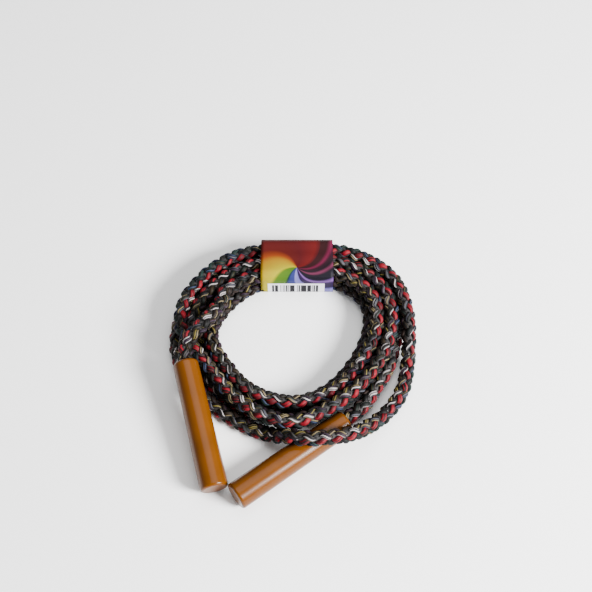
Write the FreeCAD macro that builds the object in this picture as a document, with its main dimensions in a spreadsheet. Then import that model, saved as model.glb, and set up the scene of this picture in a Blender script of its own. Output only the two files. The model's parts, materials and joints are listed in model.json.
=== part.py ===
"""A skipping rope, coiled for sale: a thick braided rope with a turning plastic handle at each end.

Millimetres, +Z up. The rope lies on the plane z = 0 with its card band at +Y and the handles at -Y.
The origin is the middle of the footprint of the handles and the band, on that plane.

The rope runs from the left handle into five and a half turns and out to the right handle. Its solids
are plain: one closed ring for the turns that lie together, and a tube for each stretch that leaves
them. Each handle is a hollow shell closed by a plug, and it turns freely on the rope, whose end is
kept inside by a crimped ferrule and a washer.
"""
import FreeCAD, Part
import math
import os

import Sketcher

from FreeCAD import Placement, Rotation, Vector

os.makedirs("parts", exist_ok=True)
doc = FreeCAD.newDocument("skipping_rope")

# ---------------------------------------------------------------- driving dimensions
DIMENSIONS = {
    "rope_dia": 12.0,
    "coil_x": 20.98,            # middle of the coil, from the origin
    "coil_y": 22.57,
    "handle_length": 95.0,
    "handle_dia_free": 19.8,    # at the closed end
    "handle_dia_mouth": 18.2,   # at the rope end
    "shoulder_radius": 2.5,     # round of the rope end
    "end_radius": 1.9,          # round of the closed end
    "neck_bore": 12.8,
    "neck_length": 9.0,
    "cavity_dia": 15.6,
    "plug_length": 8.0,
    "plug_gap": 0.05,           # all round the plug, for the glue
    "end_play": 0.3,            # between neck and washer, and washer and ferrule
    "washer_dia": 14.8,
    "washer_bore": 12.2,
    "washer_thickness": 1.2,
    "ferrule_dia": 14.6,
    "ferrule_wall": 1.3,
    "ferrule_length": 14.0,
    "crimp_depth": 0.5,
    "band_width": 54.8,         # along the rope
    "band_depth": 37.4,         # across the bundle
    "band_rise": 25.4,          # height of the wrapped bundle
    "band_round": 6.6,          # over the outer strands
    "card_thickness": 0.4,
    "band_x": 3.8,              # middle of the band, from the middle of the coil
    "band_y": 65.1,
    "running_gap": 0.6,         # between the coil and a handle that lies on or in it
}

sheet = doc.addObject("Spreadsheet::Sheet", "Sizes")
for row, (alias, value) in enumerate(DIMENSIONS.items(), start=1):
    sheet.set(f"A{row}", alias)
    sheet.set(f"B{row}", str(value))
    sheet.setAlias(f"B{row}", alias)
doc.recompute()


def size(formula):
    """The value of a formula of sheet cells."""
    value = sheet.evalExpression(formula)
    return float(getattr(value, "Value", value))


ROPE_RADIUS = size("rope_dia") / 2
COIL_CENTRE = Vector(size("coil_x"), size("coil_y"), 0)


def on_plan(x, y, z):
    """A point given from the middle of the coil."""
    return COIL_CENTRE + Vector(x, y, z)


# ---------------------------------------------------------------- sketched and turned pieces
def origin_plane(body, role):
    return next(f for f in body.Origin.OriginFeatures if f.Role == role)


def in_sheet(formula):
    """The formula with each cell name pointing at the sheet."""
    words = formula.replace("(", " ( ").replace(")", " ) ").split()
    return " ".join(f"Sizes.{word}" if word in DIMENSIONS else word for word in words)


def closed_sketch(body, name, role, corners):
    """A closed outline of straight edges on an origin plane. Each corner is a pair of formulas."""
    sketch = body.newObject("Sketcher::SketchObject", name)
    sketch.AttachmentSupport = [(origin_plane(body, role), "")]
    sketch.MapMode = "FlatFace"
    places = [Vector(size(x), size(y), 0) for x, y in corners]
    edges = len(corners)
    for i in range(edges):
        sketch.addGeometry(Part.LineSegment(places[i], places[(i + 1) % edges]))
    for i in range(edges):
        sketch.addConstraint(Sketcher.Constraint("Coincident", i, 2, (i + 1) % edges, 1))
    for i, corner in enumerate(corners):
        for axis, formula, axis_line in (("X", corner[0], -2), ("Y", corner[1], -1)):
            if formula == "0":
                sketch.addConstraint(Sketcher.Constraint("PointOnObject", i, 1, axis_line))
                continue
            value = places[i].x if axis == "X" else places[i].y
            index = sketch.addConstraint(Sketcher.Constraint(f"Distance{axis}", -1, 1, i, 1, value))
            sketch.setExpression(f"Constraints[{index}]", in_sheet(formula))
    return sketch


def turned(label, corners):
    """A body turned about its own Z axis from corners given as radius and height."""
    body = doc.addObject("PartDesign::Body", label)
    sketch = closed_sketch(body, label + "_profile", "XZ_Plane", corners)
    turn = body.newObject("PartDesign::Revolution", label + "_turn")
    turn.Profile = sketch
    turn.ReferenceAxis = (sketch, ["V_Axis"])
    turn.Angle = 360
    doc.recompute()
    return body


def round_edges(body, name, formula, chosen):
    """A fillet on the edges for which chosen(edge) is true."""
    base = body.Tip
    names = [f"Edge{n}" for n, edge in enumerate(base.Shape.Edges, start=1) if chosen(edge)]
    fillet = body.newObject("PartDesign::Fillet", name)
    fillet.Base = (base, names)
    fillet.Radius = size(formula)
    fillet.setExpression("Radius", in_sheet(formula))
    body.Tip = fillet
    doc.recompute()


def ring_edge(radius, height):
    """A test for the circular edge of that radius at that height."""
    def chosen(edge):
        curve = edge.Curve
        return (isinstance(curve, Part.Circle) and abs(curve.Radius - radius) < 0.01
                and abs(curve.Center.z - height) < 0.01)
    return chosen


def handle_shell(side):
    """Hollow handle. Its rope end is at z = 0 and its closed end at z = handle_length."""
    body = turned(f"{side}_handle_shell", [
        ("neck_bore / 2", "0"),
        ("handle_dia_mouth / 2", "0"),
        ("handle_dia_free / 2", "handle_length"),
        ("cavity_dia / 2", "handle_length"),
        ("cavity_dia / 2", "neck_length"),
        ("neck_bore / 2", "neck_length"),
    ])
    mouth = ring_edge(size("handle_dia_mouth / 2"), 0)
    free = ring_edge(size("handle_dia_free / 2"), size("handle_length"))
    round_edges(body, f"{side}_shoulder", "shoulder_radius", mouth)
    round_edges(body, f"{side}_end_round", "end_radius", free)
    return body


def end_plug(side):
    """Plug glued flush into the closed end, hollow from the inside."""
    radius = "cavity_dia / 2 - plug_gap"
    return turned(f"{side}_end_plug", [
        ("0", "handle_length"),
        ("0", "handle_length - plug_length / 3"),
        ("cavity_dia / 2 - plug_length / 4", "handle_length - plug_length / 3"),
        ("cavity_dia / 2 - plug_length / 4", "handle_length - plug_length"),
        (radius, "handle_length - plug_length"),
        (radius, "handle_length"),
    ])


def washer(side):
    """Ring that bears on the inside of the neck."""
    low = "neck_length + end_play"
    high = "neck_length + end_play + washer_thickness"
    return turned(f"{side}_washer", [
        ("washer_bore / 2", low),
        ("washer_dia / 2", low),
        ("washer_dia / 2", high),
        ("washer_bore / 2", high),
    ])


FERRULE_START = "neck_length + 2 * end_play + washer_thickness"


def ferrule(side):
    """Sleeve squeezed on to the rope's end, with one crimped groove round its middle."""
    inner = "ferrule_dia / 2 - ferrule_wall"
    outer = "ferrule_dia / 2"
    waist = "ferrule_dia / 2 - crimp_depth"
    return turned(f"{side}_ferrule", [
        (inner, FERRULE_START),
        (outer, FERRULE_START),
        (outer, FERRULE_START + " + ferrule_length * 0.3"),
        (waist, FERRULE_START + " + ferrule_length * 0.4"),
        (waist, FERRULE_START + " + ferrule_length * 0.6"),
        (outer, FERRULE_START + " + ferrule_length * 0.7"),
        (outer, FERRULE_START + " + ferrule_length"),
        (inner, FERRULE_START + " + ferrule_length"),
    ])


# ---------------------------------------------------------------- where the handles lie
class Lie:
    """How a handle lies: the middle of its mouth and the way its axis points to the closed end."""

    def __init__(self, mouth, closed_end):
        self.mouth = mouth
        self.along = (closed_end - mouth).normalize()
        self.placement = Placement(mouth, Rotation(Vector(0, 0, 1), self.along))

    def inside(self, depth):
        """A point on the axis, so far inside the mouth. Outside it, depth is negative."""
        return self.mouth + self.along * depth


# The left handle leans on the coil's outer strand, and the right one lies flat under a strand.
LIES = {
    "left": Lie(on_plan(-76.3, -25.0, 22.2), on_plan(-52.4, -116.3, 10.0)),
    "right": Lie(on_plan(38.2, -65.4, 9.11), on_plan(-38.1, -121.6, 9.91)),
}
ROPE_IN_HANDLE = size(FERRULE_START) + size("ferrule_length")

pieces = {}
for side, lie in LIES.items():
    for body in (handle_shell(side), end_plug(side), washer(side), ferrule(side)):
        body.Placement = lie.placement
        pieces[body.Label] = body


# ---------------------------------------------------------------- card band
def card_band():
    """Thin card wrapped round all the strands, open at both ends."""
    body = doc.addObject("PartDesign::Body", "card_band")
    half = "band_depth / 2"
    sketch = closed_sketch(body, "band_outline", "YZ_Plane", [
        ("0 - " + half, "0"), (half, "0"), (half, "band_rise"), ("0 - " + half, "band_rise"),
    ])
    pad = body.newObject("PartDesign::Pad", "band_block")
    pad.Profile = sketch
    pad.Length = size("band_width")
    pad.setExpression("Length", in_sheet("band_width"))
    pad.Midplane = True
    doc.recompute()
    round_edges(body, "band_corners", "band_round",
                lambda edge: abs(edge.tangentAt(edge.FirstParameter).x) > 0.99)
    block = body.Tip
    ends = [f"Face{n}" for n, face in enumerate(block.Shape.Faces, start=1)
            if abs(face.normalAt(0, 0).x) > 0.99]
    shell = body.newObject("PartDesign::Thickness", "band_card")
    shell.Base = (block, ends)
    shell.Value = size("card_thickness")
    shell.setExpression("Value", in_sheet("card_thickness"))
    shell.Reversed = True
    body.Tip = shell
    doc.recompute()
    body.Placement = Placement(on_plan(size("band_x"), size("band_y"), 0), Rotation())
    return body


pieces["card_band"] = card_band()

# ---------------------------------------------------------------- rope: the turns that lie together
# Distance of the bundle's inner and outer face from the middle of the coil at each clock hour, seen
# from above, from twelve o'clock on. The band is at twelve, and the strands fan out to the right.
INNER_FACE = (47.2, 54.5, 59.5, 47.0, 41.5, 41.0, 43.0, 44.5, 46.5, 53.0, 52.0, 50.5)
OUTER_FACE = (82.4, 92.8, 98.5, 80.5, 72.0, 69.5, 69.5, 80.0, 88.0, 94.0, 92.5, 88.8)
BUNDLE_TOP = 23.4            # two strands, the upper ones a little sunk between the lower
BUNDLE_BASE = 0.5            # at the band, where the card lies under the rope
STATIONS_PER_HOUR = 2


def face_point(radii, hour, height):
    """A point of the inner or outer face, on a smooth closed curve through one radius per hour."""
    first = math.floor(hour)
    t = hour - first
    corners = []
    for k in (-1, 0, 1, 2):
        radius = radii[(first + k) % 12]
        angle = math.radians(90 - 30 * (first + k))
        corners.append(on_plan(radius * math.cos(angle), radius * math.sin(angle), height))
    a, b, c, d = corners
    slope = c - a
    bend = a * 2 - b * 5 + c * 4 - d
    twist = (b - c) * 3 + d - a
    return b + (slope + (bend + twist * t) * t) * (t / 2)


def bundle_section(hour):
    """Poles of the bundle's rounded outline where it crosses the ray of that hour."""
    from_band = abs((hour + 6) % 12 - 6)
    base = BUNDLE_BASE * max(0.0, min(1.0, 2 - from_band))
    low = face_point(INNER_FACE, hour, base)
    across = face_point(OUTER_FACE, hour, base) - low
    rise = Vector(0, 0, BUNDLE_TOP - base)
    outline = ((0, 0.5), (0, 1), (0.5, 1), (1, 1), (1, 0.5), (1, 0), (0.5, 0), (0, 0))
    return [low + across * u + rise * v for u, v in outline]


def grown_handle(lie, gap):
    """The handle's outside, grown by a gap all round."""
    cone = Part.makeCone(size("handle_dia_mouth") / 2 + gap, size("handle_dia_free") / 2 + gap,
                         size("handle_length") + 2 * gap)
    cone.Placement = lie.placement
    cone.translate(lie.along * -gap)
    return cone


def coil_solid():
    """A closed tube through the sections, one smooth face, cut back round the two handles."""
    stations = 12 * STATIONS_PER_HOUR
    poles = [bundle_section(n / STATIONS_PER_HOUR) for n in range(stations)]
    around = len(poles[0])
    skin = Part.BSplineSurface()
    skin.buildFromPolesMultsKnots(poles, [1] * (stations + 1), [1] * (around + 1),
                                  list(range(stations + 1)), list(range(around + 1)), True, True, 2, 2)
    ring = Part.Solid(Part.Shell([skin.toShape()]))
    if ring.Volume < 0:
        ring.reverse()
    for lie in LIES.values():
        ring = ring.cut(grown_handle(lie, size("running_gap")))
    return max(ring.Solids, key=lambda solid: solid.Volume)


def shape_piece(label, shape):
    piece = doc.addObject("Part::Feature", label)
    piece.Shape = shape
    piece.Placement = Placement()
    pieces[label] = piece


shape_piece("rope_coil", coil_solid())

# ---------------------------------------------------------------- rope: the stretches that leave the coil
# Each route is the rope's middle, from its first end to its last, given from the middle of the coil.
left, right = LIES["left"], LIES["right"]
ROUTES = {
    # out of the left handle, over the other strands and down on to the coil's inner edge
    "rope_tail_left": [
        left.inside(ROPE_IN_HANDLE), left.inside(-5.5),
        on_plan(-75.2, -10.4, 27.4), on_plan(-68.2, -2.8, 30.4), on_plan(-61.3, 6.2, 29.8),
        on_plan(-56.4, 16.6, 25.6), on_plan(-52.2, 28.0, 19.6),
    ],
    # the slack last turn: off the top of the bundle, down to the surface, and up over the right handle
    "rope_loose_turn": [
        on_plan(86.6, 20.0, 18.2), on_plan(86.6, 2.0, 16.4), on_plan(85.6, -19.0, 7.4),
        on_plan(80.4, -41.3, 6.6), on_plan(68.2, -58.8, 8.8), on_plan(53.4, -72.4, 15.6),
        on_plan(39.8, -81.2, 23.4), on_plan(25.9, -84.6, 27.6), on_plan(11.0, -86.0, 27.9),
        on_plan(-2.0, -80.6, 22.0), on_plan(-11.6, -75.6, 10.0), on_plan(-25.0, -70.5, 6.8),
    ],
    # down the inside of the slack turn and into the right handle
    "rope_tail_right": [
        on_plan(77.6, 8.0, 6.5), on_plan(74.0, -8.0, 6.4), on_plan(69.0, -24.0, 6.4),
        on_plan(59.2, -38.4, 7.0), right.inside(-13.0), right.inside(ROPE_IN_HANDLE),
    ],
}


ARC_SHARE = 0.45             # part of the shorter run beside a corner that the corner's arc takes up


def rounded_path(points):
    """Straight runs joined by arcs as large as the runs allow, with the arcs' radii."""
    edges = []
    radii = []
    start = points[0]
    for before, corner, after in zip(points, points[1:], points[2:]):
        back = before - corner
        onward = after - corner
        half_turn = (math.pi - back.getAngle(onward)) / 2
        trim = ARC_SHARE * min(back.Length, onward.Length)
        radius = trim / math.tan(half_turn)
        radii.append(radius)
        back.normalize()
        onward.normalize()
        arc_start = corner + back * trim
        arc_end = corner + onward * trim
        inward = (back + onward).normalize()
        middle = corner + inward * (radius / math.cos(half_turn) - radius)
        edges.append(Part.LineSegment(start, arc_start).toShape())
        edges.append(Part.Arc(arc_start, middle, arc_end).toShape())
        start = arc_end
    edges.append(Part.LineSegment(start, points[-1]).toShape())
    return Part.Wire(edges), radii


def rope_tube(label, points):
    path, radii = rounded_path(points)
    heading = points[1] - points[0]
    section = Part.Wire([Part.makeCircle(ROPE_RADIUS, points[0], heading)])
    tube = path.makePipeShell([section], True, True)
    expected = math.pi * ROPE_RADIUS ** 2 * path.Length
    print(f"{label}: length {path.Length:.1f}, volume {tube.Volume / expected:.4f} of section x length")
    print("   radii", " ".join(f"{radius:.0f}" for radius in radii))
    return tube


for label, points in ROUTES.items():
    shape_piece(label, rope_tube(label, points))

# ---------------------------------------------------------------- check and write
doc.recompute()
for thing in doc.Objects:
    if "Invalid" in thing.State or "Error" in thing.State:
        raise RuntimeError(f"{thing.Label} is {thing.State}")
for label, piece in pieces.items():
    shape = piece.Shape
    if shape.isNull() or not shape.isValid() or len(shape.Solids) != 1:
        raise RuntimeError(f"{label} is not one valid solid")
    shape.exportStep(f"parts/{label}.step")
    print(f"{label}: {shape.Volume / 1000:.2f} cm3")
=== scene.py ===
"""A skipping rope, coiled for sale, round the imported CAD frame. Metres, +Z up, the row's own frame."""
import json
import math

import bpy
import numpy as np
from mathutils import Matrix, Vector


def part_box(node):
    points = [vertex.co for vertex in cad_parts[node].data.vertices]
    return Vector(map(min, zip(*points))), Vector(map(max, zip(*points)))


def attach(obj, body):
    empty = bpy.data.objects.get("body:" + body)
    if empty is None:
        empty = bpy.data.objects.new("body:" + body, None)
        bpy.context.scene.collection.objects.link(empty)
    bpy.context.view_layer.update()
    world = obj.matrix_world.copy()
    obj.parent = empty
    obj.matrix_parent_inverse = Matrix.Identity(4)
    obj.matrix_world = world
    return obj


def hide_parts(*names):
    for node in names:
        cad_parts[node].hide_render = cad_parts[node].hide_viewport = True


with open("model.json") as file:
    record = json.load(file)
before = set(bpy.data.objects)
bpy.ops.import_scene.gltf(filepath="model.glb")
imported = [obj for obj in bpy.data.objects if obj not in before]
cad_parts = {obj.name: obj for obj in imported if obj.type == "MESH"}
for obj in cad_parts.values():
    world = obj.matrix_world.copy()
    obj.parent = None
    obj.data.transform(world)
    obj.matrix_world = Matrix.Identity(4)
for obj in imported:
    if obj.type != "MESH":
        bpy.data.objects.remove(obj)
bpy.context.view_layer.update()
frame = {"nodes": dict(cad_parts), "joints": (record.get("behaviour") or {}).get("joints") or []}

MM = 0.001
ROPE_IN_HANDLE = 0.0248     # how far each end of the rope goes into its handle
HANDLES = {joint["child"]: (Vector(joint["pos_m"]), Vector(joint["axis"])) for joint in frame["joints"]}

band_low, band_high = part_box("card_band")
BAND = (band_low + band_high) / 2
COIL = Vector((BAND.x - 0.0038, BAND.y - 0.0651, 0))    # the middle of the coil, on the floor


def on_plan(x, y, z):
    """A point given from the middle of the coil."""
    return COIL + Vector((x, y, z))


def in_handle(side, depth):
    """A point on a handle's axis, so far inside its mouth. Outside it, depth is negative."""
    mouth, along = HANDLES[side + "_handle"]
    return mouth + along * depth


def ease(t):
    """0 to 1, slow at both ends."""
    return t * t * (3 - 2 * t)


# ---------------------------------------------------------------- camera
CAMERA_ELEVATION = math.radians(60)
CAMERA_DISTANCE = 0.7


def add_camera():
    """The camera looks down at the coil from -Y."""
    towards = Vector((0, -math.cos(CAMERA_ELEVATION), math.sin(CAMERA_ELEVATION)))
    data = bpy.data.cameras.new("camera")
    data.lens = 57.5
    data.sensor_width = 36
    data.shift_x = 0.0068
    data.shift_y = 0.0777
    data.clip_start = 0.01
    data.clip_end = 20
    camera = bpy.data.objects.new("camera", data)
    camera.location = on_plan(0, 0, 0.008) + CAMERA_DISTANCE * towards
    camera.rotation_euler = (math.radians(90) - CAMERA_ELEVATION, 0, 0)
    bpy.context.scene.collection.objects.link(camera)
    bpy.context.scene.camera = camera


add_camera()

# ---------------------------------------------------------------- the rope's route
# Control points of what leaves the ring: out of the left handle, the slack turn, and into the right one.
TAIL_LEFT = [
    in_handle("left", ROPE_IN_HANDLE), in_handle("left", -0.0055),
    on_plan(-0.0752, -0.0104, 0.0274), on_plan(-0.0682, -0.0028, 0.0304), on_plan(-0.0613, 0.0062, 0.0298),
    on_plan(-0.0564, 0.0166, 0.0256), on_plan(-0.0522, 0.0280, 0.0196),
]
LOOSE_TURN = [
    on_plan(0.0866, 0.0200, 0.0182), on_plan(0.0866, 0.0020, 0.0164), on_plan(0.0856, -0.0190, 0.0074),
    on_plan(0.0804, -0.0413, 0.0066), on_plan(0.0682, -0.0588, 0.0088), on_plan(0.0534, -0.0724, 0.0156),
    on_plan(0.0398, -0.0812, 0.0234), on_plan(0.0259, -0.0846, 0.0276), on_plan(0.0110, -0.0860, 0.0279),
    on_plan(-0.0020, -0.0806, 0.0220), on_plan(-0.0116, -0.0756, 0.0100), on_plan(-0.0250, -0.0705, 0.0068),
]
TAIL_RIGHT = [
    on_plan(0.0776, 0.0080, 0.0065), on_plan(0.0740, -0.0080, 0.0064), on_plan(0.0690, -0.0240, 0.0064),
    on_plan(0.0592, -0.0384, 0.0070), in_handle("right", -0.0130), in_handle("right", ROPE_IN_HANDLE),
]

# The ring at each clock hour, seen from above, from twelve on: the radius of the innermost strand's
# middle, and how far one strand's middle is from the next one's. Millimetres.
INNERMOST = (51.5, 62.5, 67.5, 56, 49, 49, 51.5, 54, 59, 68, 63, 58)
PITCH = (11.4, 10.9, 11.3, 12.2, 11.8, 11.2, 10.6, 10.1, 9.8, 9.2, 10.8, 11.5)
# The turns, as (hours wound since noon of the first one, strands out from the innermost, height in mm).
FIRST_TURNS = [
    (-1.9, 0.1, 19.5), (0, 0, 18.2), (1, 0.05, 18), (3, 0.3, 17.8), (5, 0.4, 17), (7.3, 0.3, 16.8),
    (8.4, 0, 17.4), (9.9, 0, 6.4), (12, 0, 6.4), (15, 0, 6.2), (20.7, 0, 6.2), (22, 1, 6.2),
    (24, 1, 6.4), (27, 1.05, 6.2), (32.6, 1, 6.2), (33.8, 0.9, 16.8), (36, 1, 18.2), (37.5, 1.1, 18),
    (39, 1.3, 18), (40.2, 1.35, 21), (40.8, 1.5, 22.4), (41.4, 1.9, 23.6), (42.1, 2.65, 27),
    (42.6, 2.3, 24), (43.3, 1.5, 18), (44.2, 1.05, 17.4), (45.4, 1.7, 17),
    (48, 2, 18.2), (49, 2.1, 18.2), (50, 2.25, 18.2),
]
LAST_TURN = [
    (55, 2, 6.4), (56.3, 1.95, 6.2), (57, 1.85, 6.2), (58, 2, 6.2), (60, 2, 6.4), (61, 2.1, 6.2),
    (62, 2.15, 6.2), (62.5, 2, 6.3),
]
POINTS_PER_HOUR = 2


def at_hour(values, hour):
    """A smooth value round the clock, on a Catmull-Rom curve through one at each hour."""
    whole = math.floor(hour)
    t = hour - whole
    a, b, c, d = (values[(whole + k) % 12] for k in (-1, 0, 1, 2))
    return b + 0.5 * t * (c - a + t * (2 * a - 5 * b + 4 * c - d + t * (3 * (b - c) + d - a)))


def turn_point(slots, hour):
    """A point of the coil, eased between the slots before and after that hour."""
    for (hour0, lane0, height0), (hour1, lane1, height1) in zip(slots, slots[1:]):
        if hour0 <= hour <= hour1:
            break
    t = ease((hour - hour0) / (hour1 - hour0))
    lane = lane0 + (lane1 - lane0) * t
    height = height0 + (height1 - height0) * t
    radius = at_hour(INNERMOST, hour) + lane * at_hour(PITCH, hour)
    angle = math.radians(90 - 30 * hour)
    return on_plan(radius * math.cos(angle) * MM, radius * math.sin(angle) * MM, height * MM)


def turns(slots):
    """The coil's points from the first slot to the last."""
    start, end = slots[0][0], slots[-1][0]
    count = round((end - start) * POINTS_PER_HOUR)
    return [turn_point(slots, start + (end - start) * n / count) for n in range(count + 1)]


# ---------------------------------------------------------------- settling the turns
ROUNDS = 220
SAMPLES_PER_SPAN = 5
STRAND_GAP = 0.0109         # nearest that the middles of two strands come
OTHER_STRAND = 0.04         # two places this far apart along the rope are on different strands
PUSH_SHARE = 0.3            # of an overlap of strands, taken away in each round
STIFFNESS = 0.2             # how much each point follows its neighbours' moves
RETURN_SHARE = 0.004        # of its move, that a point goes back in each round
SINK = 0.00006              # how far a point sinks in each round
LOWEST = 0.0062             # middle of a strand that lies on the floor
HANDLE_LONG = 0.095
MOUTH_RADIUS = 0.0091       # outside of a handle at its mouth
HANDLE_FLARE = 0.0008       # what its far end's radius has over that
HANDLE_TO_STRAND = 0.0063   # from the handle's outside to the middle of a strand
BAND_REACH = 0.036          # half of the stretch of coil that the band keeps together
BAND_HALF_DEEP = 0.0122     # half of the space for the strands' middles inside the band
BAND_LAYERS = (0.0067, 0.0187)      # middles of its lower and its upper layer of strands
TINY = 1e-9


def spline_weights(count):
    """Rows of weights that give points of the clamped quadratic spline from its control points. They say
    where the strands lie while the control points move."""
    rows = []
    for span in range(count - 2):
        for step in range(SAMPLES_PER_SPAN):
            t = step / SAMPLES_PER_SPAN
            before = (1 - t) ** 2 / (1 if span == 0 else 2)
            after = t ** 2 / (1 if span == count - 3 else 2)
            row = np.zeros(count)
            row[span:span + 3] = (before, 1 - before - after, after)
            rows.append(row)
    return np.array(rows)


def distance_along(points):
    """How far along a line each of its points is."""
    return np.r_[0, np.cumsum(np.linalg.norm(np.diff(points, axis=0), axis=1))]


def push_from_strands(line, other):
    """Moves that part the strands of a line where they are too near to each other."""
    apart = line[:, None] - line[None]
    distance = np.linalg.norm(apart, axis=2) + TINY
    overlap = np.where(other & (distance < STRAND_GAP), STRAND_GAP - distance, 0)
    return (apart / distance[..., None] * overlap[..., None]).sum(1) * PUSH_SHARE


def push_from_handle(line, mouth, axis):
    """Moves that take a line out of a handle."""
    depth = ((line - mouth) @ axis).clip(0, HANDLE_LONG)
    off = line - mouth - depth[:, None] * axis
    far = np.linalg.norm(off, axis=1) + TINY
    reach = MOUTH_RADIUS + HANDLE_FLARE * depth / HANDLE_LONG + HANDLE_TO_STRAND
    inside = np.where(far < reach, reach - far, 0)
    return off / far[:, None] * inside[:, None]


def keep_in_band(place, free):
    """Puts the free points near the band back in the room that it leaves them."""
    wrapped = (np.abs(place[:, 0] - BAND.x) < BAND_REACH) & (place[:, 1] > COIL.y) & free
    place[wrapped, 1] = place[wrapped, 1].clip(BAND.y - BAND_HALF_DEEP, BAND.y + BAND_HALF_DEEP)
    place[wrapped, 2] = place[wrapped, 2].clip(*BAND_LAYERS)


def settle(points, held):
    """Moves the control points that aren't held until no two strands of the spline lie in each other."""
    start = np.array(points)
    place = start.copy()
    free = ~np.array(held)
    loose = free.astype(float)[:, None]
    weights = spline_weights(len(points))
    share = weights.T / weights.sum(0)[:, None]
    along = distance_along(weights @ start)
    other = np.abs(along[:, None] - along[None]) > OTHER_STRAND
    for _ in range(ROUNDS):
        line = weights @ place
        push = push_from_strands(line, other)
        for mouth, axis in HANDLES.values():
            push += push_from_handle(line, np.array(mouth), np.array(axis))
        place += loose * (share @ push)
        moved = place - start
        moved[1:-1] += loose[1:-1] * STIFFNESS * (moved[:-2] + moved[2:] - 2 * moved[1:-1])
        place = start + moved * (1 - RETURN_SHARE * loose)
        place[:, 2] -= loose[:, 0] * SINK
        place[:, 2] = np.maximum(place[:, 2], LOWEST)
        keep_in_band(place, free)
    return place


# ---------------------------------------------------------------- the rope's line
def route_curve(points):
    """One smooth spline with the route's points as its control points."""
    curve = bpy.data.curves.new("rope_route", "CURVE")
    curve.dimensions = "3D"
    spline = curve.splines.new("NURBS")
    spline.points.add(len(points) - 1)
    for point, place in zip(spline.points, points):
        point.co = (*place, 1)
    spline.order_u = 3
    spline.use_endpoint_u = True
    curve.resolution_u = 12
    return bpy.data.objects.new("rope_route", curve)


def spline_points(obj):
    """Points read along a curve object, which is removed."""
    bpy.context.scene.collection.objects.link(obj)
    bpy.context.view_layer.update()
    mesh = bpy.data.meshes.new_from_object(obj.evaluated_get(bpy.context.evaluated_depsgraph_get()))
    points = np.array([vertex.co for vertex in mesh.vertices])
    bpy.data.objects.remove(obj)
    return points


first_turns = turns(FIRST_TURNS)
route = TAIL_LEFT + first_turns + LOOSE_TURN + turns(LAST_TURN) + TAIL_RIGHT
# The tails stay where they are, apart from the point of each that is deepest in the coil.
held_left, held_right = len(TAIL_LEFT) - 1, len(TAIL_RIGHT) - 1
held = [True] * held_left + [False] * (len(route) - held_left - held_right) + [True] * held_right
route = settle(route, held)
path = spline_points(route_curve(route))
path_along = distance_along(path)
rope_length = path_along[-1]


# ---------------------------------------------------------------- materials
class Surface:
    """A new Principled material, with short ways to add and link nodes in it."""

    def __init__(self, name, roughness, **sockets):
        self.material = bpy.data.materials.new(name)
        self.material.use_nodes = True
        self.tree = self.material.node_tree
        self.shader = self.tree.nodes["Principled BSDF"]
        self.shader.inputs["Roughness"].default_value = roughness
        for socket, value in sockets.items():
            self.shader.inputs[socket.replace("_", " ")].default_value = value

    def node(self, kind, inputs, **settings):
        """A node, its settings made before each of its inputs is linked or set."""
        new = self.tree.nodes.new(kind)
        for setting, value in settings.items():
            setattr(new, setting, value)
        for socket, value in inputs.items():
            if isinstance(value, bpy.types.NodeSocket):
                self.tree.links.new(value, new.inputs[socket])
            else:
                new.inputs[socket].default_value = value
        return new

    def maths(self, operation, *values):
        """A sum of numbers and other nodes' outputs."""
        return self.node("ShaderNodeMath", dict(enumerate(values)), operation=operation).outputs[0]

    def mix(self, factor, first, second, blend_type="MIX"):
        inputs = {0: factor, 6: first, 7: second}
        return self.node("ShaderNodeMix", inputs, data_type="RGBA", blend_type=blend_type).outputs[2]

    def ramp(self, source, stops, interpolation="LINEAR"):
        """A colour looked up on stops of (place from 0 to 1, colour)."""
        new = self.node("ShaderNodeValToRGB", {"Fac": source})
        elements = new.color_ramp.elements
        new.color_ramp.interpolation = interpolation
        while len(elements) < len(stops):
            elements.new(0.5)
        for element, (place, colour) in zip(elements, stops):
            element.position = place
            element.color = (*colour, 1)
        return new.outputs["Color"]

    def noise(self, place, scale, detail=2.0):
        inputs = {"Vector": place, "Scale": scale, "Detail": detail}
        return self.node("ShaderNodeTexNoise", inputs).outputs["Fac"]

    def uv(self, name):
        return self.node("ShaderNodeUVMap", {}, uv_map=name).outputs["UV"]

    def place(self):
        """The point's place in the object, in metres."""
        return self.node("ShaderNodeTexCoord", {}).outputs["Object"]

    def colour(self, source):
        self.tree.links.new(source, self.shader.inputs["Base Color"])

    def bump(self, height, strength, distance):
        inputs = {"Height": height, "Strength": strength, "Distance": distance}
        new = self.node("ShaderNodeBump", inputs)
        self.tree.links.new(new.outputs[0], self.shader.inputs["Normal"])


def grey(value):
    return (value, value, value)


PLIES = 14                  # fine plies in a yarn, all round it
RED, DEEP_RED = (0.15, 0.002, 0.008), (0.05, 0.002, 0.004)
WHITE, CREAM, GREY = (0.32, 0.29, 0.29), (0.13, 0.100, 0.050), (0.045, 0.045, 0.058)
TEAL, GREEN = (0.005, 0.018, 0.015), (0.003, 0.006, 0.004)
NAVY, SLATE = (0.004, 0.006, 0.018), (0.016, 0.025, 0.055)
BROWN, BLACK = (0.013, 0.006, 0.004), (0.002, 0.0015, 0.0015)
PURPLE, OLIVE = (0.015, 0.005, 0.016), (0.110, 0.085, 0.018)
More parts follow.
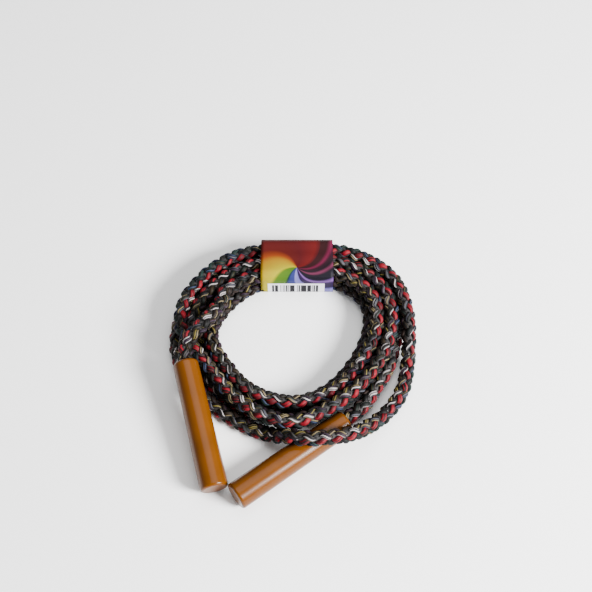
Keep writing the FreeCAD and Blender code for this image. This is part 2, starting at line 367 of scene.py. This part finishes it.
# The yarns in order round the rope, as (name, striped, colours of its plies). The red one is first, and
# they go on towards the coil's outside.
YARNS = [
    ("red", False, [RED, RED, DEEP_RED, RED, DEEP_RED, BLACK]),
    ("grey", True, [GREEN, BLACK, GREY, SLATE, BLACK, GREEN, TEAL, CREAM, SLATE]),
    ("green", False, [GREEN, TEAL, GREEN, BLACK]),
    ("navy", False, [NAVY, SLATE, NAVY, PURPLE]),
    ("black", False, [BLACK, BROWN, BLACK, BROWN]),
    ("brown", False, [BROWN, PURPLE, BROWN, BLACK]),
    ("olive", True, [OLIVE, BROWN, BLACK, GREEN, CREAM, BLACK, BROWN]),
    ("white", True, [WHITE, BLACK, CREAM, WHITE, GREY, GREEN, BLACK, PURPLE]),
]


def yarn_material(name, striped, colours):
    """Braiding yarn of fine plies. Each ply of each stitch has its own colour, with painted shade darkening
    it where it dives under the other yarns.
    In a striped yarn every second ply is a dark one."""
    surface = Surface("yarn_" + name, 0.6, Specular_IOR_Level=0.15)
    uv = surface.uv("yarn")
    split = surface.node("ShaderNodeSeparateXYZ", {"Vector": uv}).outputs
    stitch = surface.maths("FLOOR", split["X"])
    plies = surface.maths("MULTIPLY", split["Y"], PLIES)
    ply = surface.maths("FLOOR", plies)
    which = surface.node("ShaderNodeCombineXYZ", {"X": stitch, "Y": ply}).outputs[0]
    pick = surface.node("ShaderNodeTexWhiteNoise", {"Vector": which}, noise_dimensions="2D").outputs["Value"]
    steps = [(n / len(colours), colour) for n, colour in enumerate(colours)]
    colour = surface.ramp(pick, steps, "CONSTANT")
    if striped:
        second_ply = surface.maths("MODULO", ply, 2)
        stripe = surface.ramp(second_ply, [(0.0, grey(1.0)), (0.5, grey(0.12))], "CONSTANT")
        colour = surface.mix(1.0, colour, stripe, "MULTIPLY")
    stretched = surface.node("ShaderNodeMapping", {"Vector": uv, "Scale": (4.0, 60.0, 1.0)}).outputs[0]
    fibres = surface.noise(stretched, 1.0)
    fibre_shade = surface.ramp(fibres, [(0.3, grey(0.5)), (0.7, grey(1.2))])
    colour = surface.mix(1.0, colour, fibre_shade, "MULTIPLY")
    # Painted shade: the colour goes nearly black towards where the yarn dives under its neighbours, standing
    # in for the shadow between the stitches.
    from_dive = surface.maths("PINGPONG", surface.maths("ADD", split["X"], 0.25), 0.5)
    painted_dive_shade = surface.ramp(from_dive, [(0.16, grey(0.06)), (0.30, grey(1.0))])
    surface.colour(surface.mix(1.0, colour, painted_dive_shade, "MULTIPLY"))
    ply_height = surface.maths("PINGPONG", plies, 0.5)
    surface.bump(surface.maths("ADD", ply_height, fibres), 0.4, 0.0003)
    return surface.material


def plastic(name, colour, roughness):
    """Moulded plastic, faintly cloudy and not quite smooth."""
    surface = Surface(name, roughness, Specular_IOR_Level=0.2)
    place = surface.place()
    darker, lighter = (tuple(c * share for c in colour) for share in (0.9, 1.08))
    surface.colour(surface.ramp(surface.noise(place, 60.0), [(0.3, darker), (0.7, lighter)]))
    surface.bump(surface.noise(place, 900.0), 0.05, 0.0002)
    return surface.material


def metal(name, colour, roughness):
    """Bare metal with a fine grain."""
    surface = Surface(name, roughness, Metallic=1.0, Base_Color=(*colour, 1))
    surface.bump(surface.noise(surface.place(), 1500.0), 0.1, 0.0001)
    return surface.material


# ---------------------------------------------------------------- meshes
def add_piece(name, vertices, faces, slots, smooth, uv_map, uvs, materials):
    """A new mesh object. Slots and smooth have one value for each face, and uvs one for each vertex."""
    mesh = bpy.data.meshes.new(name)
    mesh.from_pydata(vertices, [], faces)
    mesh.polygons.foreach_set("material_index", np.array(slots, np.int32))
    mesh.polygons.foreach_set("use_smooth", np.array(smooth, bool))
    corners = np.zeros(len(mesh.loops), np.int32)
    mesh.loops.foreach_get("vertex_index", corners)
    layer = mesh.uv_layers.new(name=uv_map)
    layer.data.foreach_set("uv", np.array(uvs, np.float32)[corners].ravel())
    for material in materials:
        mesh.materials.append(material)
    mesh.update()
    piece = bpy.data.objects.new(name, mesh)
    bpy.context.scene.collection.objects.link(piece)
    return piece


def tube_rings(middle, across, proud, half_across, half_proud, sides):
    """Points of oval rings round a line. Each half width is one number, or a column with one a ring."""
    turn = np.linspace(0, 2 * math.pi, sides, endpoint=False)
    wide = half_across * np.cos(turn) * np.ones((len(middle), 1))
    high = half_proud * np.sin(turn) * np.ones((len(middle), 1))
    rings = middle[:, None] + across[:, None] * wide[..., None] + proud[:, None] * high[..., None]
    return rings.reshape(-1, 3)


def tube_faces(count, sides, begin):
    """Quads of a tube through rings of points, the first of them vertex begin, with a cap at each end."""
    faces = []
    for n in range(count - 1):
        for k in range(sides):
            a, b = begin + n * sides + k, begin + n * sides + (k + 1) % sides
            faces.append((a, b, b + sides, a + sides))
    faces.append(tuple(begin + k for k in reversed(range(sides))))
    faces.append(tuple(begin + (count - 1) * sides + k for k in range(sides)))
    return faces


def tube_uvs(along, sides):
    """U goes along the tube, with one value for each ring, and V goes round it."""
    return np.stack([np.repeat(along, sides), np.tile(np.arange(sides) / sides, len(along))], 1)


# ---------------------------------------------------------------- the braided rope
STITCH = 0.0104             # length of one stitch along the rope
END_MARGIN = 0.002          # from the end of the rope's line to the ends of its yarns
RINGS_PER_STITCH = 9
YARN_SIDES = 8
YARN_HALF_ACROSS = 0.00200
YARN_HALF_PROUD = 0.00132
YARN_OUT = 0.0034           # from the rope's middle to a yarn's, on average
YARN_DIVE = 0.00125         # how much further out and in it goes in each stitch
YARN_SWING = 0.00155        # how far it goes to each side
YARN_UNEVEN = 0.00008       # spread of the stitches' heights
STAGGER = 0.11              # how far each yarn is ahead of the one before it, in stitches
SWING_RADIUS = 0.0045       # where a yarn's swing is measured, from the rope's middle
CORE_RADIUS = 0.0036
CORE_RINGS, CORE_SIDES = 1200, 12
CORE_COLOUR = (0.012, 0.010, 0.010, 1)

# Roll of the red yarn about the rope, in degrees from straight up towards the outside of the coil:
# at hours of the first turns, then at points of the slack turn, by their place in its list.
ROLL_AT_HOUR = [(-1.9, 45), (0, 35), (3, 35), (6, 42), (9, 60), (12, 90), (20, 120), (30, 100), (33, 60),
                (36, 30), (38, 15), (40, 50), (42, 55), (44, 10), (45, -30), (46.5, -60), (48.5, -50),
                (50, 10)]
ROLL_ON_LOOSE_TURN = {1: 50, 2: 10, 4: 25, 6: 50, 9: 70, 11: 90}
HOUR_APART, HOUR_STRETCH = 0.01, 0.5


def nearest_along(point):
    """How far along the rope it passes nearest to a point."""
    return path_along[np.argmin(np.linalg.norm(path - np.array(point), axis=1))]


def roll_table():
    """The red yarn's roll, as (metres along the rope, degrees). The turns pass each place many times, so
    an hour is looked for within a stretch of rope that begins just after the hour before it."""
    table = [(0.0, 20), (nearest_along(TAIL_LEFT[3]), 45)]
    for hour, roll in ROLL_AT_HOUR:
        steps = round((hour - FIRST_TURNS[0][0]) * POINTS_PER_HOUR)
        spot = route[len(TAIL_LEFT) + min(steps, len(first_turns) - 1)]
        start = table[-1][0] + HOUR_APART
        ahead = (path_along > start) & (path_along < start + HOUR_STRETCH)
        near = np.argmin(np.where(ahead, np.linalg.norm(path - spot, axis=1), np.inf))
        table.append((path_along[near], roll))
    table += [(nearest_along(LOOSE_TURN[n]), roll) for n, roll in ROLL_ON_LOOSE_TURN.items()]
    table += [(nearest_along(TAIL_RIGHT[0]), 75), (nearest_along(TAIL_RIGHT[3]), 70), (rope_length, 70)]
    return table


def smooth_table(x, table):
    """Values at x, eased from each row of the table to the next."""
    places, values = (np.array(column) for column in zip(*table))
    row = np.clip(np.searchsorted(places, x) - 1, 0, len(places) - 2)
    t = ease(np.clip((x - places[row]) / (places[row + 1] - places[row]), 0, 1))
    return values[row] * (1 - t) + values[row + 1] * t


def on_rope(s):
    """Middle of the rope at distances along it."""
    return np.stack([np.interp(s, path_along, path[:, k]) for k in range(3)], -1)


def unit(vectors):
    return vectors / np.linalg.norm(vectors, axis=-1, keepdims=True)


def rope_frame(s):
    """Middle, upward and outward directions of the rope at distances along it."""
    step = 0.0015
    along = unit(on_rope(s + step) - on_rope(s - step))
    up = unit(np.array((0, 0, 1.0)) - along * along[..., 2:3])
    return on_rope(s), up, np.cross(up, along)


def yarn_tube(k, roll, rng):
    """Points and UVs of one yarn. Even and odd yarns swing opposite ways, so that they cross."""
    braid_length = rope_length - 2 * END_MARGIN
    count = int(braid_length / STITCH * RINGS_PER_STITCH)
    odd = k % 2
    hand = -1 if odd else 1
    stitches = np.arange(count + 1) / RINGS_PER_STITCH + (0.5 * odd + STAGGER * k)
    s = END_MARGIN + braid_length * np.arange(count + 1) / count
    phase = 2 * math.pi * stitches
    knots = np.arange(math.ceil(stitches[-1]) + 1)
    uneven = np.interp(stitches, knots, rng.normal(0, 1, len(knots)))
    # Its way from side to side is mostly straight, with the turns rounded.
    zigzag = 0.75 * np.arcsin(np.sin(phase)) / (math.pi / 2) + 0.25 * np.sin(phase)
    swing = hand * YARN_SWING * zigzag / SWING_RADIUS
    out = YARN_OUT + YARN_DIVE * np.cos(phase) + YARN_UNEVEN * uneven
    swell = 0.8 + 0.25 * np.cos(phase)

    middle, up, outward = rope_frame(s)
    angle = np.radians(smooth_table(s, roll)) + k * 2 * math.pi / len(YARNS) + swing
    away = up * np.cos(angle)[:, None] + outward * np.sin(angle)[:, None]
    line = middle + away * out[:, None]
    heading = unit(np.gradient(line, axis=0))
    across = unit(np.cross(heading, away))
    half_across = YARN_HALF_ACROSS * swell[:, None]
    points = tube_rings(line, across, np.cross(across, heading), half_across, YARN_HALF_PROUD, YARN_SIDES)
    # Colours change a quarter of a stitch after the yarn is deepest. Each yarn has numbers of its own.
    return points, tube_uvs(stitches + 0.25 + k * 1000, YARN_SIDES)


def core_tube():
    """Points and UVs of the core."""
    s = np.linspace(END_MARGIN, rope_length - END_MARGIN, CORE_RINGS)
    points = tube_rings(*rope_frame(s), CORE_RADIUS, CORE_RADIUS, CORE_SIDES)
    return points, tube_uvs(s / STITCH, CORE_SIDES)


def braided_rope():
    """The yarns and the dark core inside them, as one mesh."""
    roll = roll_table()
    rng = np.random.default_rng(7)
    tubes = [(YARN_SIDES, yarn_tube(k, roll, rng)) for k in range(len(YARNS))]
    tubes.append((CORE_SIDES, core_tube()))
    faces, slots = [], []
    begin = 0
    for slot, (sides, (points, _)) in enumerate(tubes):
        new = tube_faces(len(points) // sides, sides, begin)
        faces += new
        slots += [slot] * len(new)
        begin += len(points)
    vertices = np.concatenate([points for _, (points, _) in tubes]).tolist()
    uvs = np.concatenate([uvs for _, (_, uvs) in tubes])
    smooth = [True] * len(faces)
    materials = [yarn_material(*yarn) for yarn in YARNS]
    materials.append(Surface("rope_core", 0.8, Base_Color=CORE_COLOUR).material)
    return add_piece("braided_rope", vertices, faces, slots, smooth, "yarn", uvs, materials)


rope = braided_rope()
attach(rope, "rope")
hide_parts("rope_coil", "rope_tail_left", "rope_loose_turn", "rope_tail_right")

# ---------------------------------------------------------------- the printed card band, in millimetres
CARD = 0.4
GLUE_LINE = 1.05            # thicknesses of card from the outer end's face to the inner end's
ON_FACE = 2                 # a point of the outline this near to the band's top or side is on it
CARD_INSIDE_COLOUR = (0.42, 0.40, 0.37, 1)
BAND_LONG = (band_high.x - band_low.x) / MM
BAND_DEEP = (band_high.y - band_low.y) / MM
BAND_RISE = (band_high.z - band_low.z) / MM
BAND_CORNER = 6.6
GLUED = 12.0                # length of the overlap
OUTER_END = 60.0            # where the outer end lies, round the band from its top's middle
OVERLAP_RAMP = 3.0          # stretch in which the inner end goes under the outer one
HOLLOW = 0.32               # how far the card sinks between two strands
STRAND_STEP = 12.2          # from one strand to the next, under the card's top
SIDE_HOLLOW = 6             # half of the height of the hollow between the two layers, at the sides
EDGE_STRETCH = 5            # near each edge, where the card sinks less
BAND_STEPS, BAND_COLUMNS = 210, 22

PRINT_LONG, PRINT_ROUND = 100, 200  # what the UV square measures along the rope and round the band
SWIRL = (0.0, 10.3)         # where the print's colours meet, along the rope and down from the top's middle
SWIRL_FLAT = 0.87           # height of the swirl's rings, as a share of their width
SWIRL_TWIST = 1.8 / 360     # turns that the colours lag for each mm out from there
PATCH = ((-0.6, 21.6), (36.5, 11.0))        # the white patch: middle and half width, along and down
BARS = ((-0.8, 18.2), (36.5, 8.6))          # the bars on it, likewise
BAR_MODULE = 0.6
BAR_BLANKS = 0.28           # share of the modules that stay white
WHITE_INK, BLACK_INK = (0.62, 0.62, 0.66), (0.008, 0.008, 0.010)
# Colours round the swirl, at shares of a turn from straight right, anticlockwise.
SWIRL_COLOURS = [
    (0.00, (0.035, 0.002, 0.003)), (0.03, (0.072, 0.003, 0.003)), (0.16, (0.045, 0.002, 0.003)),
    (0.28, (0.052, 0.003, 0.002)), (0.32, (0.14, 0.022, 0.001)), (0.355, (0.20, 0.100, 0.001)),
    (0.42, (0.25, 0.185, 0.001)), (0.465, (0.27, 0.235, 0.001)), (0.49, (0.046, 0.10, 0.004)),
    (0.57, (0.034, 0.085, 0.005)), (0.588, (0.003, 0.012, 0.014)), (0.608, (0.014, 0.021, 0.095)),
    (0.665, (0.020, 0.022, 0.11)), (0.683, (0.12, 0.12, 0.29)), (0.735, (0.10, 0.085, 0.26)),
    (0.750, (0.008, 0.004, 0.022)), (0.79, (0.014, 0.005, 0.030)), (0.806, (0.12, 0.052, 0.20)),
    (0.824, (0.003, 0.002, 0.006)), (0.862, (0.003, 0.002, 0.005)), (0.878, (0.080, 0.012, 0.034)),
    (0.895, (0.004, 0.002, 0.004)), (0.922, (0.014, 0.002, 0.006)), (0.939, (0.080, 0.004, 0.022)),
    (0.960, (0.014, 0.002, 0.003)), (0.985, (0.016, 0.002, 0.003)),
]


def card_material():
    """The print: a swirl of colours, and a white patch with plain bars of no meaning."""
    surface = Surface("printed_card", 0.6, Specular_IOR_Level=0.12)
    maths = surface.maths

    def within(value, middle, half):
        return maths("LESS_THAN", maths("ABSOLUTE", maths("SUBTRACT", value, middle)), half)

    uv = surface.uv("print")
    split = surface.node("ShaderNodeSeparateXYZ", {"Vector": uv}).outputs
    along = maths("MULTIPLY_ADD", split["X"], PRINT_LONG, -PRINT_LONG / 2)
    down = maths("MULTIPLY_ADD", split["Y"], PRINT_ROUND, -PRINT_ROUND / 2)

    right = maths("SUBTRACT", along, SWIRL[0])
    rise = maths("MULTIPLY", maths("SUBTRACT", down, SWIRL[1]), -SWIRL_FLAT)
    squared = maths("ADD", maths("MULTIPLY", right, right), maths("MULTIPLY", rise, rise))
    away = maths("POWER", squared, 0.5)
    angle = maths("DIVIDE", maths("ARCTAN2", rise, right), 2 * math.pi)
    turned = maths("SUBTRACT", angle, maths("MULTIPLY", away, SWIRL_TWIST))
    colours = surface.ramp(maths("FRACT", maths("ADD", turned, 2.0)), SWIRL_COLOURS)

    module = maths("FLOOR", maths("DIVIDE", along, BAR_MODULE))
    draw = surface.node("ShaderNodeTexWhiteNoise", {"W": module}, noise_dimensions="1D").outputs["Value"]
    barred = maths("MULTIPLY", within(along, *BARS[0]), within(down, *BARS[1]))
    bar = maths("MULTIPLY", maths("GREATER_THAN", draw, BAR_BLANKS), barred)
    ink = surface.ramp(bar, [(0.0, WHITE_INK), (1.0, BLACK_INK)])
    patch = maths("MULTIPLY", within(along, *PATCH[0]), within(down, *PATCH[1]))
    surface.colour(surface.mix(patch, colours, ink))
    surface.bump(surface.noise(uv, 160.0, 3.0), 0.08, 0.0002)
    return surface.material


def band_legs():
    """Outline of the wrapped card from its top's middle towards -Y and round, as straight legs
    (length, "line", start, direction) and quarter arcs (length, "arc", middle, degrees at the start)."""
    half = BAND_DEEP / 2 - BAND_CORNER
    side = half + BAND_CORNER
    low, high = BAND_CORNER, BAND_RISE - BAND_CORNER
    quarter = math.pi / 2 * BAND_CORNER
    return [
        (half, "line", (0, BAND_RISE), (-1, 0)), (quarter, "arc", (-half, high), 90),
        (high - low, "line", (-side, high), (0, -1)), (quarter, "arc", (-half, low), 180),
        (2 * half, "line", (-half, 0), (1, 0)), (quarter, "arc", (half, low), 270),
        (high - low, "line", (side, low), (0, 1)), (quarter, "arc", (half, high), 0),
        (half, "line", (half, BAND_RISE), (-1, 0)),
    ]


BAND_LEGS = band_legs()
BAND_AROUND = sum(leg[0] for leg in BAND_LEGS)


def band_outline(q):
    """Point and outward direction of the wrapped card, q mm round it from its top's middle towards -Y."""
    q = q % BAND_AROUND
    for length, kind, start, way in BAND_LEGS:
        if q <= length + TINY:
            break
        q -= length
    if kind == "line":
        return (start[0] + way[0] * q, start[1] + way[1] * q), (way[1], -way[0])
    angle = math.radians(way) + q / BAND_CORNER
    out = (math.cos(angle), math.sin(angle))
    return (start[0] + BAND_CORNER * out[0], start[1] + BAND_CORNER * out[1]), out


def hollow_between_strands(y, z):
    """How far the card sinks between the strands under it."""
    from_middle = abs(z - BAND_RISE / 2)
    if z > BAND_RISE - ON_FACE:
        return HOLLOW * (0.5 - 0.5 * math.cos(2 * math.pi * y / STRAND_STEP))
    if abs(y) > BAND_DEEP / 2 - ON_FACE and from_middle < SIDE_HOLLOW:
        return HOLLOW * math.cos(from_middle / SIDE_HOLLOW * math.pi / 2)
    return 0.0


def band_vertices():
    """Points and UVs of the card's printed face, then of its inside."""
    vertices, uvs = [], []
    for layer in (0, 1):
        for n in range(BAND_STEPS + 1):
            q = OUTER_END - (BAND_AROUND + GLUED) * n / BAND_STEPS
            under = (OUTER_END - q - BAND_AROUND + OVERLAP_RAMP) / OVERLAP_RAMP
            sink = CARD * GLUE_LINE * min(1.0, max(0.0, under)) + CARD * layer
            (y, z), out = band_outline(q)
            for m in range(BAND_COLUMNS + 1):
                x = BAND_LONG * (m / BAND_COLUMNS - 0.5)
                edge = max(0.0, abs(x) - BAND_LONG / 2 + EDGE_STRETCH) / EDGE_STRETCH
                dip = hollow_between_strands(y, z) * (1 - 0.5 * edge) + sink
                vertices.append((BAND.x + x * MM, BAND.y + (y - out[0] * dip) * MM,
                                 (z - out[1] * dip) * MM))
                uvs.append((x / PRINT_LONG + 0.5, q / PRINT_ROUND + 0.5))
    return vertices, uvs


def band_faces():
    """Faces of the card's two sides and its four edges, and the slot of each: 0 is the printed one."""
    row = BAND_COLUMNS + 1
    inside = (BAND_STEPS + 1) * row
    faces, slots = [], []
    for n in range(BAND_STEPS):
        for m in range(BAND_COLUMNS):
            a = n * row + m
            faces.append((a, a + row, a + row + 1, a + 1))
            faces.append((inside + a, inside + a + 1, inside + a + row + 1, inside + a + row))
            slots += [0, 1]
        for m, flip in ((0, False), (BAND_COLUMNS, True)):
            a = n * row + m
            rim = (a, inside + a, inside + a + row, a + row)
            faces.append(rim[::-1] if flip else rim)
            slots.append(1)
    for m in range(BAND_COLUMNS):
        for n, flip in ((0, True), (BAND_STEPS, False)):
            a = n * row + m
            rim = (a + 1, inside + a + 1, inside + a, a)
            faces.append(rim[::-1] if flip else rim)
            slots.append(1)
    return faces, slots


def card_band():
    """The card wrapped round the strands, its ends glued one over the other underneath."""
    vertices, uvs = band_vertices()
    faces, slots = band_faces()
    smooth = [slot == 0 for slot in slots]
    materials = [card_material(), Surface("card_inside", 0.8, Base_Color=CARD_INSIDE_COLOUR).material]
    return add_piece("printed_band", vertices, faces, slots, smooth, "print", uvs, materials)


band = card_band()
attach(band, "rope")
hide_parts("card_band")


# ---------------------------------------------------------------- handles
def repaint(node_name, material):
    """Gives a CAD node a better material. Its shape stays."""
    materials = frame["nodes"][node_name].data.materials
    materials.clear()
    materials.append(material)


orange = plastic("orange_plastic", (0.088, 0.0255, 0.0001), 0.25)
steel = metal("washer_steel", (0.56, 0.56, 0.58), 0.3)
aluminium = metal("ferrule_aluminium", (0.75, 0.75, 0.76), 0.4)
for side in ("left", "right"):
    repaint(side + "_handle_shell", orange)
    repaint(side + "_end_plug", orange)
    repaint(side + "_washer", steel)
    repaint(side + "_ferrule", aluminium)

# ---------------------------------------------------------------- floor and light
FLOOR_HALF = 8


def add_floor():
    corners = [(x * FLOOR_HALF, y * FLOOR_HALF, 0) for x, y in ((-1, -1), (1, -1), (1, 1), (-1, 1))]
    mesh = bpy.data.meshes.new("floor")
    mesh.from_pydata(corners, [], [(0, 1, 2, 3)])
    mesh.materials.append(Surface("floor", 0.9, Base_Color=(0.95, 0.95, 0.95, 1)).material)
    floor = bpy.data.objects.new("floor", mesh)
    bpy.context.scene.collection.objects.link(floor)


def add_light(name, place, size, power):
    """A round lamp, placed from the middle of the coil and turned towards it."""
    data = bpy.data.lights.new(name, "AREA")
    data.shape = "DISK"
    data.size = size
    data.energy = power
    light = bpy.data.objects.new(name, data)
    light.location = COIL + Vector(place)
    light.rotation_euler = (-Vector(place)).to_track_quat("-Z", "Y").to_euler()
    bpy.context.scene.collection.objects.link(light)


def add_world():
    world = bpy.data.worlds.new("studio")
    world.use_nodes = True
    background = world.node_tree.nodes["Background"]
    background.inputs["Color"].default_value = (1, 1, 1, 1)
    background.inputs["Strength"].default_value = 0.5
    bpy.context.scene.world = world


add_floor()
add_light("key", (1.15, -0.65, 0.85), 0.6, 130)
add_light("top", (0.2, 0.5, 1.6), 1.6, 22)
add_world()
